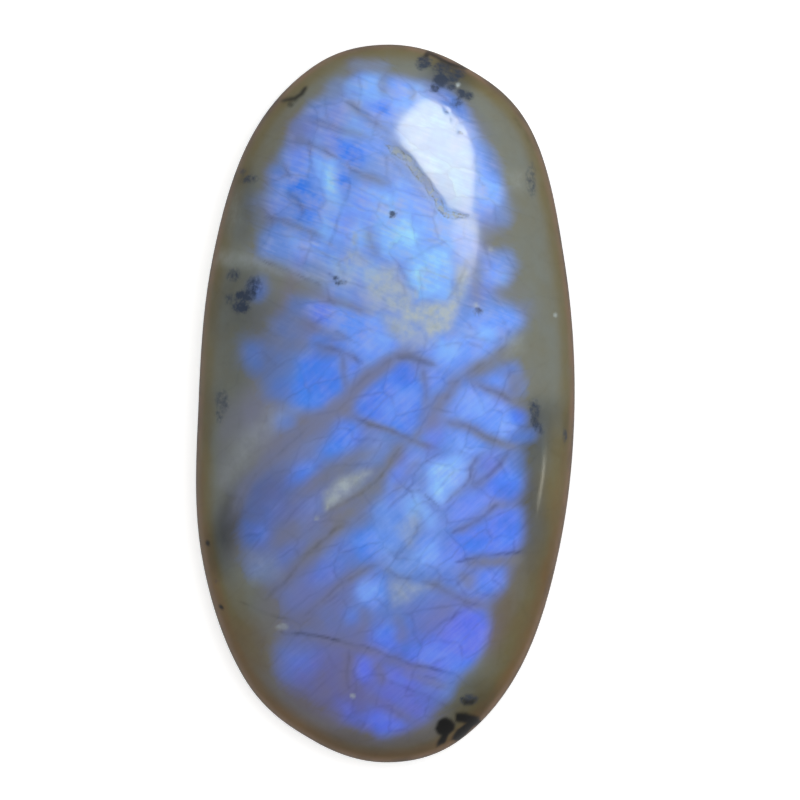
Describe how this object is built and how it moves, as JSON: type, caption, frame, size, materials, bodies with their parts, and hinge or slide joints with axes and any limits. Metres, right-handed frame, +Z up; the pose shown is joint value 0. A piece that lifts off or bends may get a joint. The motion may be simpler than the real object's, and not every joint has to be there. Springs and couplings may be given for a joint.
{
  "type": "rainbow moonstone cabochon",
  "caption": "Oval polished rainbow moonstone cabochon with a domed crown, low girdle and flat back, showing a blue sheen crossed by cleavage cracks.",
  "frame": {"origin": "on the flat back's plane, below the middle of the stone's box", "axes": "+Z up out of the domed crown, +Y along the oval's long axis towards the end that is uppermost in the picture, +X to the picture's right"},
  "size_m": [0.019, 0.036, 0.0066],
  "materials": {
    "moonstone": "polished translucent feldspar with a blue sheen"
  },
  "bodies": {
    "root": {"moonstone": "moonstone"}
  },
  "joints": []
}
